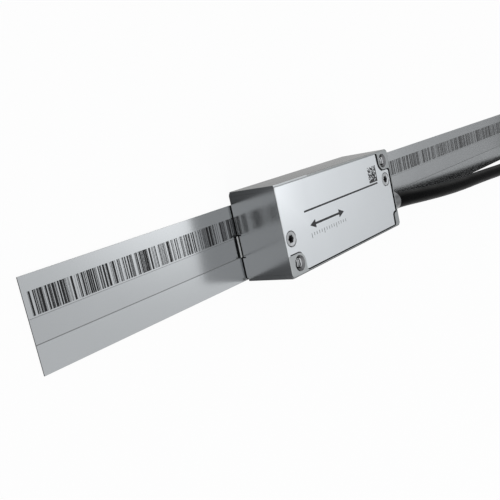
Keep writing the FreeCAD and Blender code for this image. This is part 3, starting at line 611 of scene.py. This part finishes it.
def graduation_tree():
    """Bars side by side, of random widths and gaps, in darker and lighter stretches."""
    tree, given, close = geometry_tree(
        "graduation",
        "Start End Low High Face Raised Finest Widest Fineness",
        Bars=INTEGER,
        Seed=INTEGER,
    )
    index = put(tree, "GeometryNodeInputIndex")
    ratio = math_node(tree, "DIVIDE", given["Widest"], given["Finest"])

    def width(shift):
        odds = {"Min": 0.0, "Max": 1.0, "Seed": math_node(tree, "ADD", given["Seed"], shift)}
        chance = live(add(tree, "FunctionNodeRandomValue", odds, data_type="FLOAT"))
        share = math_node(tree, "POWER", chance, given["Fineness"])
        return math_node(tree, "MULTIPLY", given["Finest"], math_node(tree, "POWER", ratio, share))

    def stretched(start, end):
        return map_range(tree, slow, 0.3, 0.7, start, end)

    waves_per_bar, gap_shift, thinner, thicker = 0.11, 31, 0.75, 1.3
    along = math_node(tree, "MULTIPLY_ADD", index, waves_per_bar, given["Seed"])
    waves = {"W": along, "Scale": 1.0, "Detail": 1.0}
    slow = put(tree, "ShaderNodeTexNoise", waves, noise_dimensions="1D")
    bar = math_node(tree, "MULTIPLY", width(0), stretched(thinner, thicker))
    gap = math_node(tree, "MULTIPLY", width(gap_shift), stretched(thicker, thinner))
    steps = add(tree, "GeometryNodeAccumulateField", {"Value": math_node(tree, "ADD", bar, gap)})
    left = math_node(tree, "ADD", given["Start"], steps.outputs["Trailing"])
    middle = combine(
        tree,
        math_node(tree, "MULTIPLY_ADD", bar, 0.5, left),
        math_node(tree, "MULTIPLY", math_node(tree, "ADD", given["Low"], given["High"]), 0.5),
        given["Face"],
    )
    points = points_at(tree, given["Bars"], middle)
    tall = math_node(tree, "SUBTRACT", given["High"], given["Low"])
    inside = math_node(tree, "LESS_THAN", math_node(tree, "ADD", left, bar), given["End"])
    return close(blocks(tree, points, bar, tall, given["Raised"], inside))


def dot_tree():
    """A square block of dots, of which about two thirds are printed."""
    inked, dot_width = 0.64, 0.98
    tree, given, close = geometry_tree(
        "dot_block", "Side Raised", Corner=VECTOR, Cells=INTEGER, Seed=INTEGER
    )
    side, cells = given["Side"], given["Cells"]
    pitch = math_node(tree, "DIVIDE", side, cells)
    reach = math_node(tree, "SUBTRACT", side, pitch)
    rows = {"Size X": reach, "Size Y": reach, "Vertices X": cells, "Vertices Y": cells}
    grid = put(tree, "GeometryNodeMeshGrid", rows)
    half = math_node(tree, "MULTIPLY", side, 0.5)
    centre = vector_node(tree, "ADD", given["Corner"], combine(tree, half, half))
    grid = put(tree, "GeometryNodeTransform", {"Geometry": grid, "Translation": centre})
    odds = {"Probability": inked, "Seed": given["Seed"]}
    chance = live(add(tree, "FunctionNodeRandomValue", odds, data_type="BOOLEAN"))
    dot = math_node(tree, "MULTIPLY", pitch, dot_width)
    return close(blocks(tree, grid, dot, dot, given["Raised"], chance))


def tick_tree():
    """A row of ticks, every fifth one longer."""
    tree, given, close = geometry_tree(
        "tick_row", "Pitch Width Height Raised", First=VECTOR, Count=INTEGER
    )
    added = 0.6
    index = put(tree, "GeometryNodeInputIndex")
    fifth = math_node(tree, "LESS_THAN", math_node(tree, "MODULO", index, 5.0), 0.5)
    stretch = math_node(tree, "MULTIPLY_ADD", fifth, added, 1.0)
    tall = math_node(tree, "MULTIPLY", given["Height"], stretch)
    along = math_node(tree, "MULTIPLY", index, given["Pitch"])
    offset = combine(tree, along, math_node(tree, "MULTIPLY", tall, -0.5))
    points = points_at(tree, given["Count"], vector_node(tree, "ADD", given["First"], offset))
    return close(blocks(tree, points, given["Width"], tall, given["Raised"]))


def thread_tree():
    """A helical ridge of a small section that rises from a place."""
    tree, given, close = geometry_tree(
        "thread", "Radius Pitch Turns Ridge", Place=VECTOR, Turn=VECTOR
    )
    helix = {
        "Resolution": 28,
        "Rotations": given["Turns"],
        "Start Radius": given["Radius"],
        "End Radius": given["Radius"],
        "Height": math_node(tree, "MULTIPLY", given["Turns"], given["Pitch"]),
    }
    section = {"Resolution": 4, "Radius": given["Ridge"]}
    sweep = {
        "Curve": put(tree, "GeometryNodeCurveSpiral", helix),
        "Profile Curve": put(tree, "GeometryNodeCurvePrimitiveCircle", section),
        "Fill Caps": True,
    }
    place = {
        "Geometry": put(tree, "GeometryNodeCurveToMesh", sweep),
        "Translation": given["Place"],
        "Rotation": given["Turn"],
    }
    return close(put(tree, "GeometryNodeTransform", place))


class EncoderStage(Operator):
    """Camera, white floor and soft studio light"""

    bl_idname = "encoder.stage"
    bl_label = "Stage"

    # Share of the floor that glows to the camera, and the level of the horizon that meets it
    GLOW = 0.94
    HORIZON = 0.982

    def execute(self, context):
        setting = context.scene.encoder_stage
        for name in ("Cube", "Light", "Camera"):
            spare = bpy.data.objects.get(name)
            if spare:
                bpy.data.objects.remove(spare)
        context.scene.view_settings.view_transform = "Standard"
        self.add_camera(context, setting)
        self.add_floor(setting)
        self.add_dark_card()
        self.add_room(context, setting)
        return {"FINISHED"}

    def add_camera(self, context, setting):
        lens = bpy.data.cameras.new("camera")
        lens.lens = setting.camera_lens
        lens.sensor_width = 36
        lens.clip_start = 0.005
        lens.clip_end = 50
        camera = link("camera", lens)
        camera.location = setting.camera_place
        camera.rotation_euler = setting.camera_turn
        context.scene.camera = camera

    def sheet(self, name, corners, height, material):
        data = bpy.data.meshes.new(name)
        data.from_pydata([(x, y, height) for x, y in corners], [], [(0, 1, 2, 3)])
        data.materials.append(material)
        return link(name, data)

    def add_floor(self, setting):
        """White to the camera and in reflections, with a little of the object's shadow."""
        material = bpy.data.materials.new("white_floor")
        material.use_nodes = True
        tree = material.node_tree
        tree.nodes.clear()
        path = add(tree, "ShaderNodeLightPath").outputs
        seen = math_node(tree, "MAXIMUM", path["Is Camera Ray"], path["Is Glossy Ray"])
        seen = math_node(tree, "MAXIMUM", seen, path["Is Transmission Ray"])
        paper = put(tree, "ShaderNodeBsdfDiffuse", {"Color": (0.85, 0.85, 0.85, 1)})
        glow = put(tree, "ShaderNodeEmission", {"Color": (1, 1, 1, 1), "Strength": 1.0})
        share = math_node(tree, "MULTIPLY", seen, self.GLOW)
        mix = put(tree, "ShaderNodeMixShader", {0: share, 1: paper, 2: glow})
        add(tree, "ShaderNodeOutputMaterial", {"Surface": mix})
        side = setting.floor_side
        floor = self.sheet("floor", rectangle(-side, -side, side, side), -0.05 * MM, material)

    def add_dark_card(self):
        """A card under the tape that only metal mirrors, which darkens the end face's edges."""
        material = bpy.data.materials.new("dark_paper")
        material.use_nodes = True
        paper = material.node_tree.nodes["Principled BSDF"].inputs
        paper["Base Color"].default_value = (0.16, 0.165, 0.17, 1)
        paper["Roughness"].default_value = 0.9
        corners = rectangle(-400 * MM, -14.5 * MM, HOUSING_LOW.x, 13 * MM)
        card = self.sheet("dark_card", corners, -0.02 * MM, material)
        card.visible_camera = False
        card.visible_diffuse = False
        card.visible_transmission = False
        card.visible_shadow = False

    def add_room(self, context, setting):
        """A soft room, lighter above and white at the horizon, with two panels and a key light."""
        world = bpy.data.worlds.new("studio")
        context.scene.world = world
        world.use_nodes = True
        tree = world.node_tree
        tree.nodes.clear()
        towards = add(tree, "ShaderNodeTexCoord").outputs["Generated"]
        height = add(tree, "ShaderNodeSeparateXYZ", {0: towards}).outputs["Z"]
        smooth = {"interpolation_type": "SMOOTHSTEP"}
        level = map_range(tree, height, 0.475, 0.52, setting.room_low, setting.room_high, **smooth)
        horizon = map_range(tree, height, 0.30, 0.15, 0.0, 1.0, **smooth)
        level = math_node(tree, "MULTIPLY_ADD", horizon, self.HORIZON - setting.room_low, level)
        # Direction, degrees from it to the full and to the last light, and light that is added
        for direction, inner, outer, gain in (
            ((0.70, 0.03, 0.713), 6, 15, setting.panel),
            ((-0.739, -0.162, 0.654), 12, 45, 0.2),
        ):
            cosine = add(
                tree, "ShaderNodeVectorMath", {0: towards, 1: direction}, operation="DOT_PRODUCT"
            ).outputs["Value"]
            angle = math_node(tree, "ARCCOSINE", cosine)
            inner, outer = math.radians(inner), math.radians(outer)
            panel = map_range(tree, angle, outer, inner, 0.0, gain, **smooth)
            level = math_node(tree, "ADD", level, panel)
        tint = mix_node(tree, "RGBA", horizon, (0.97, 0.985, 1.0, 1), (1, 1, 1, 1))
        air = put(tree, "ShaderNodeBackground", {"Color": tint, "Strength": level})
        add(tree, "ShaderNodeOutputWorld", {"Surface": air})
        lamp = bpy.data.lights.new("key", "AREA")
        lamp.shape = "RECTANGLE"
        lamp.size, lamp.size_y = 0.5, 0.35
        lamp.energy = 1.6
        key = link("key", lamp)
        key.visible_glossy = False
        key.location = (-0.05, -0.55, 0.6)
        key.rotation_euler = (-key.location).to_track_quat("-Z", "Y").to_euler()


class EncoderCable(Operator):
    """Cable from the head, over the tape's edge to the hank and on to the plug"""

    bl_idname = "encoder.cable"
    bl_label = "Cable"

    # Control points in millimetres, from the sleeve to the hank and from the hank to the plug
    OUT = (
        (-24.3, -3.2, 9.15),
        (-12.9, -3.2, 9.15),
        (8.2, -5.5, 8.95),
        (29.5, -7.5, 8.45),
        (50.7, -8.4, 8.15),
        (71.6, -9.6, 8.1),
        (90.8, -10.3, 8.4),
        (110.0, -10.9, 6.8),
        (128.0, -11.6, 4.2),
        (146.0, -11.65, 2.75),
        (162.95, -11.6, 2.65),
    )
    TAIL = (
        (216.95, -11.6, 17.45),
        (229.0, -11.5, 17.2),
        (241.0, -8.4, 12.6),
        (252.0, -4.0, 7.25),
        (266.0, -4.0, 7.25),
    )

    # Points from the head that have the thicker jacket
    SWOLLEN = 8

    # Share of a layer that each point of a rising fold has gained
    RISE = (0.1, 0.37, 0.63, 0.9)

    def hank(self, form):
        """Turns one on the other, each of which rises by a layer in the left fold."""
        reach = form.fold_radius / math.cos(math.pi / 8)
        inset = 9 * MM
        left, right = form.hank_left + inset, form.hank_right - inset
        low = form.hank_middle - form.fold_radius
        high = form.hank_middle + form.fold_radius
        # Middle of each fold, degrees to its first point and how far it rises
        folds = ((form.hank_right, -67.5, 0), (form.hank_left, 112.5, form.diameter))
        points = []
        for layer in range(form.turns + 1):
            height = form.hank_low + layer * form.diameter
            points += [(left, low, height), (right, low, height)]
            if layer == form.turns:
                break
            for middle, first, rise in folds:
                for i, share in enumerate(self.RISE):
                    angle = math.radians(first + 45 * i)
                    x = middle + reach * math.cos(angle)
                    y = form.hank_middle + reach * math.sin(angle)
                    points.append((x, y, height + rise * share))
                if not rise:
                    points += [(right, high, height), (left, high, height)]
        return points

    def execute(self, context):
        form = context.scene.encoder_cable
        points = [[MM * v for v in p] for p in self.OUT]
        points += self.hank(form)
        points += [[MM * v for v in p] for p in self.TAIL]
        line = bpy.data.curves.new("encoder_cable", "CURVE")
        line.dimensions = "3D"
        line.resolution_u = 10
        line.bevel_depth = form.diameter / 2
        line.bevel_resolution = 5
        line.use_fill_caps = True
        spline = line.splines.new("NURBS")
        spline.points.add(len(points) - 1)
        for i, (control, place) in enumerate(zip(spline.points, points)):
            control.co = (*place, 1)
            control.radius = form.swell if i < self.SWOLLEN else 1.0
        spline.order_u = 3
        spline.use_endpoint_u = True
        spline.use_smooth = True
        cable = link("encoder_cable", line)
        line.materials.append(finish("cable_black"))
        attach(cable, "head")
        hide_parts("signal_cable", "cable_hank", "cable_tail")
        return {"FINISHED"}


class EncoderGraduation(Operator):
    """Code track and lines on the face of the tape"""

    bl_idname = "encoder.graduation"
    bl_label = "Graduation"

    def execute(self, context):
        marks = context.scene.encoder_marks
        face = TAPE_HIGH.z
        bars = grown(
            "code_bars",
            graduation_tree(),
            finish("graduation"),
            Bars=2400,
            Start=TAPE_LOW.x + MM,
            End=TAPE_HIGH.x,
            Low=marks.code_low,
            High=marks.code_high,
            Face=face,
            Raised=marks.raised,
            Finest=marks.finest,
            Widest=marks.widest,
            Fineness=marks.fineness,
            Seed=marks.seed,
        )
        places = ((marks.border_at, marks.border_width), (marks.divider_at, marks.divider_width))
        outlines = [rectangle(TAPE_LOW.x, y - w / 2, TAPE_HIGH.x, y + w / 2) for y, w in places]
        lines = printed("track_lines", outlines, face, marks.raised, finish("fine_line"))
        for piece in (bars, lines):
            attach(piece, "scale")
        return {"FINISHED"}


class EncoderPrint(Operator):
    """Marks printed on the cover"""

    bl_idname = "encoder.print"
    bl_label = "Cover print"

    def execute(self, context):
        ink = context.scene.encoder_print
        face = COVER_HIGH.z
        half = ink.rule_width / 2
        start = ink.rule_left + 1.2 * MM
        rule = rectangle(ink.rule_left, ink.rule_at - half, ink.rule_right, ink.rule_at + half)
        arrow = self.arrow(start, start + ink.arrow_length, ink.arrow_at)
        x, y, side = ink.block_left, ink.block_low, ink.block_side
        cell = side / ink.block_cells
        lower = rectangle(x, y, x + side, y + cell)
        right = rectangle(x + side - cell, y + cell, x + side, y + side)
        outlines = [rule, arrow, lower, right]
        marks = printed("printed_marks", outlines, face, ink.raised, finish("ink"))
        dots = grown(
            "dot_block",
            dot_tree(),
            finish("ink"),
            Corner=(x, y + cell, face),
            Side=side - cell,
            Cells=ink.block_cells - 1,
            Raised=ink.raised,
            Seed=ink.seed,
        )
        ticks = grown(
            "tick_row",
            tick_tree(),
            finish("ink"),
            First=(start, ink.arrow_at - 1.7 * MM, face),
            Pitch=ink.tick_pitch,
            Count=round(ink.arrow_length / ink.tick_pitch) + 1,
            Width=0.14 * MM,
            Height=0.7 * MM,
            Raised=ink.raised,
        )
        for piece in (marks, dots, ticks):
            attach(piece, "head")
        return {"FINISHED"}

    def arrow(self, left, right, y):
        """A double-headed arrow."""
        point, wide, thin = 2.2 * MM, 0.95 * MM, 0.25 * MM
        start, end = left + point, right - point
        lower = [(start, -wide), (start, -thin), (end, -thin), (end, -wide)]
        upper = [(x, -h) for x, h in reversed(lower)]
        return [(x, y + h) for x, h in ((left, 0), *lower, (right, 0), *upper)]


class EncoderScrews(Operator):
    """Countersunk screws of the cover, with hexalobular sockets"""

    bl_idname = "encoder.screws"
    bl_label = "Cover screws"

    def execute(self, context):
        form = context.scene.encoder_screws
        solids = [self.loops(form, x * MM, y * MM) for x, y in COVER_SCREWS]
        screws = lofted("socket_screws", solids, finish("screw_steel"))
        screws.data.materials.append(finish("socket_dark"))
        # Faces deeper than 0.15 mm take the dark finish: painted shade in the socket
        for face in screws.data.polygons:
            face.material_index = face.center.z < COVER_HIGH.z - 0.15 * MM
        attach(screws, "head")
        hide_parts("cover_screws")
        return {"FINISHED"}

    def loops(self, form, x, y):
        """From the shank's end up round the head, over its dished face and down into the socket."""
        top = COVER_HIGH.z - 0.02 * MM
        head, shank, socket = form.head_radius, form.shank_radius, form.socket_radius
        sink = head - shank
        lobe = 0.17 * socket
        lobes, steps = 6, 72

        def loop(radius, depth, wave=0.0):
            ring = []
            for i in range(steps):
                angle = 2 * math.pi * i / steps
                r = radius + wave * math.cos(lobes * angle)
                ring.append((x + r * math.cos(angle), y + r * math.sin(angle), top - depth))
            return ring

        return [
            loop(shank, form.screw_length),
            loop(shank, sink),
            loop(head - 0.12 * MM, 0.12 * MM),
            loop(head - 0.15 * MM, 0.03 * MM),
            loop(head - 0.2 * MM, 0.0),
            loop(1.75 * socket, 0.0),
            loop(1.25 * socket, 0.08 * MM, 0.6 * lobe),
            loop(socket, 0.2 * MM, lobe),
            loop(0.97 * socket, form.socket_depth, lobe),
        ]


class EncoderTrim(Operator):
    """Wipers and black lips of the end notches, the seam at the mounting holes and sharper left
    edges. The black lips are painted shade at the notches.
    """

    bl_idname = "encoder.trim"
    bl_label = "Trim"

    # Height of the end notches' roofs
    ROOF = 1.15 * MM

    def execute(self, context):
        low, high, wide = -3.12 * MM, 1.57 * MM, 0.28 * MM
        lips, wipers = [], []
        for end in ((HOUSING_LOW.x, -1), (HOUSING_HIGH.x, 1)):
            # Black lips round each notch: painted shade where the notch's gap lies in shadow
            for y in (low - wide, high):
                lips.append(self.bar(end, (0.02, -0.03), (y, y + wide), (-0.7, 0.55)))
            lips.append(self.bar(end, (0.5, -0.3), (low, high), (-0.78, -0.42)))
            wipers.append(self.bar(end, (0.5, 0.06), (low, high), (-0.42, -0.35)))
        face = COVER_HIGH.z
        bottom = face - 0.6 * MM
        lips.append(slab(self.right_lip(), bottom, face + 0.02 * MM))
        outlines = (self.left_edge(), self.right_edge())
        edges = [slab(outline, bottom, face - 0.004 * MM) for outline in outlines]
        corners = [
            slab(outline, HOUSING_LOW.z + 0.6 * MM, HOUSING_HIGH.z - 0.25 * MM)
            for outline in (self.corner(HOUSING_HIGH.y, -1), self.corner(HOUSING_LOW.y, 1)[::-1])
        ]
        for name, solids, slot, material in (
            ("head_corner", corners, "housing_metal", "housing_metal"),
            ("notch_lips", lips, "seal_rubber", "seal_rubber"),
            ("wiper_strips", wipers, "header_ivory", "wiper_white"),
            ("cover_edge", edges, "cover_metal", "cover_metal"),
        ):
            piece = lofted(name, solids, finish(material))
            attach(piece, "head")
        return {"FINISHED"}

    def bar(self, end, reach, across, rise):
        """A bar at an end face, with its reach out of it and rise over the roof in millimetres."""
        face, out = end
        left, right = sorted(face + out * v * MM for v in reach)
        low, high = (self.ROOF + v * MM for v in rise)
        return slab(rectangle(left, across[0], right, across[1]), low, high)

    def corner(self, edge, inward):
        """The sharper edge between the left end face and a long side."""
        left, side, blunt = HOUSING_LOW.x, 1.02 * MM, 0.02 * MM
        return [
            (left, edge + inward * side),
            (left + side, edge + inward * side),
            (left + side, edge),
            (left + blunt, edge),
            (left, edge + inward * blunt),
        ]

    def strip(self, hole, start, end, outer, inner, first, last):
        """Outline of a strip round a hole between two rows of radii, with points at its ends."""
        x, y = hole
        steps = len(inner) - 1
        turns = [math.radians(start + (end - start) * i / steps) for i in range(steps + 1)]
        far = [(x + r * math.cos(a), y + r * math.sin(a)) for r, a in zip(outer, turns)]
        near = [(x + r * math.cos(a), y + r * math.sin(a)) for r, a in zip(inner, turns)]
        return [(u * MM, v * MM) for u, v in (*first, *far, *last, *reversed(near))]

    def left_edge(self):
        """Closes the cover's gap at the right of the left hole's boss and narrows it above."""
        x, y = MOUNT_HOLES[0]
        outer = 2.63
        inner = [2.24 + 0.19 * min(1, max(0, (i - 13) / 4)) for i in range(24)]
        low = HOUSING_LOW.y / MM + 0.75
        left = HOUSING_LOW.x / MM + 0.53
        first = ((x + inner[0], low), (x + outer, low))
        last = ((left, y + outer), (left, y + inner[-1]))
        return self.strip((x, y), 0, 90, [outer] * 24, inner, first, last)

    def right_edge(self):
        """Narrows the cover's gap under the right hole's boss."""
        x, y = MOUNT_HOLES[1]
        outer = 2.66
        inner = [2.62 - 0.2 * min(1, i / 6) for i in range(12)]
        last = ((x + 1.5, y - outer), (x + 1.5, y - inner[-1]))
        return self.strip((x, y), 235, 270, [outer] * 12, inner, (), last)

    def right_lip(self):
        """The seal's lip where it comes out of the gap at the left of the right hole's boss."""
        x, y = MOUNT_HOLES[1]
        outer = [2.94 - 0.3 * i / 15 for i in range(16)]
        first = ((x - 2.45, y + 2.25), (x - 3.1, y + 2.25), (x - 3.0, y + 1.5))
        return self.strip((x, y), 180, 250, outer, [2.45] * 16, first, ())


class EncoderThreads(Operator):
    """Threads in the mounting holes and on the plug's nose"""

    bl_idname = "encoder.threads"
    bl_label = "Threads"

    def execute(self, context):
        form = context.scene.encoder_screws
        tree = thread_tree()
        low, top = HOUSING_LOW.z + 0.7 * MM, HOUSING_HIGH.z - 0.65 * MM
        for i, (x, y) in enumerate(MOUNT_HOLES):
            thread = grown(
                "hole_thread_%d" % (i + 1),
                tree,
                finish("hole_thread"),
                Place=(x * MM, y * MM, low),
                Turn=(0, 0, 0),
                Radius=form.hole_radius,
                Pitch=form.hole_pitch,
                Turns=(top - low) / form.hole_pitch,
                Ridge=0.4 * form.hole_pitch,
            )
            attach(thread, "head")
        axis = (NUT_LOW + NUT_HIGH) / 2
        start = NUT_HIGH.x - 5.6 * MM
        thread = grown(
            "plug_thread",
            tree,
            finish("nut_nickel"),
            Place=(start, axis.y, axis.z),
            Turn=(0, math.pi / 2, 0),
            Radius=form.plug_radius,
            Pitch=form.plug_pitch,
            Turns=5.0,
            Ridge=0.3 * form.plug_pitch,
        )
        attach(thread, "coupling")
        return {"FINISHED"}


class EncoderFinishes(Operator):
    """Materials of the pieces that come from the solid model"""

    bl_idname = "encoder.finishes"
    bl_label = "Finishes"

    def execute(self, context):
        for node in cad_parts.values():
            slot = node.material_slots[0]
            slot.material = finish(slot.material.name)
        return {"FINISHED"}


class EncoderPanel(Panel):
    """Sizes, colours and pieces of the encoder"""

    bl_idname = "VIEW3D_PT_encoder"
    bl_label = "Encoder"
    bl_space_type = "VIEW_3D"
    bl_region_type = "UI"
    bl_category = "Encoder"

    def draw(self, context):
        for name, kind in SETTINGS.items():
            box = self.layout.box()
            box.label(text=kind.__doc__)
            for key in kind.__annotations__:
                box.prop(getattr(context.scene, name), key)
        for operator in OPERATORS:
            self.layout.operator(operator.bl_idname)


SETTINGS = {
    "encoder_stage": StageSetting,
    "encoder_cable": CableForm,
    "encoder_marks": ScaleMarks,
    "encoder_print": CoverPrint,
    "encoder_screws": ScrewForm,
    "encoder_finishes": Finishes,
}
OPERATORS = (
    EncoderStage,
    EncoderCable,
    EncoderGraduation,
    EncoderPrint,
    EncoderScrews,
    EncoderTrim,
    EncoderThreads,
    EncoderFinishes,
)


def register():
    for cls in (*SETTINGS.values(), *OPERATORS, EncoderPanel):
        bpy.utils.register_class(cls)
    for name, cls in SETTINGS.items():
        setattr(bpy.types.Scene, name, PointerProperty(type=cls))


def unregister():
    for name in SETTINGS:
        delattr(bpy.types.Scene, name)
    for cls in (EncoderPanel, *reversed(OPERATORS), *SETTINGS.values()):
        bpy.utils.unregister_class(cls)


def main():
    register()
    bpy.ops.encoder.stage()
    bpy.ops.encoder.cable()
    bpy.ops.encoder.graduation()
    bpy.ops.encoder.print()
    bpy.ops.encoder.screws()
    bpy.ops.encoder.trim()
    bpy.ops.encoder.threads()
    bpy.ops.encoder.finishes()


if __name__ == "__main__":
    main()
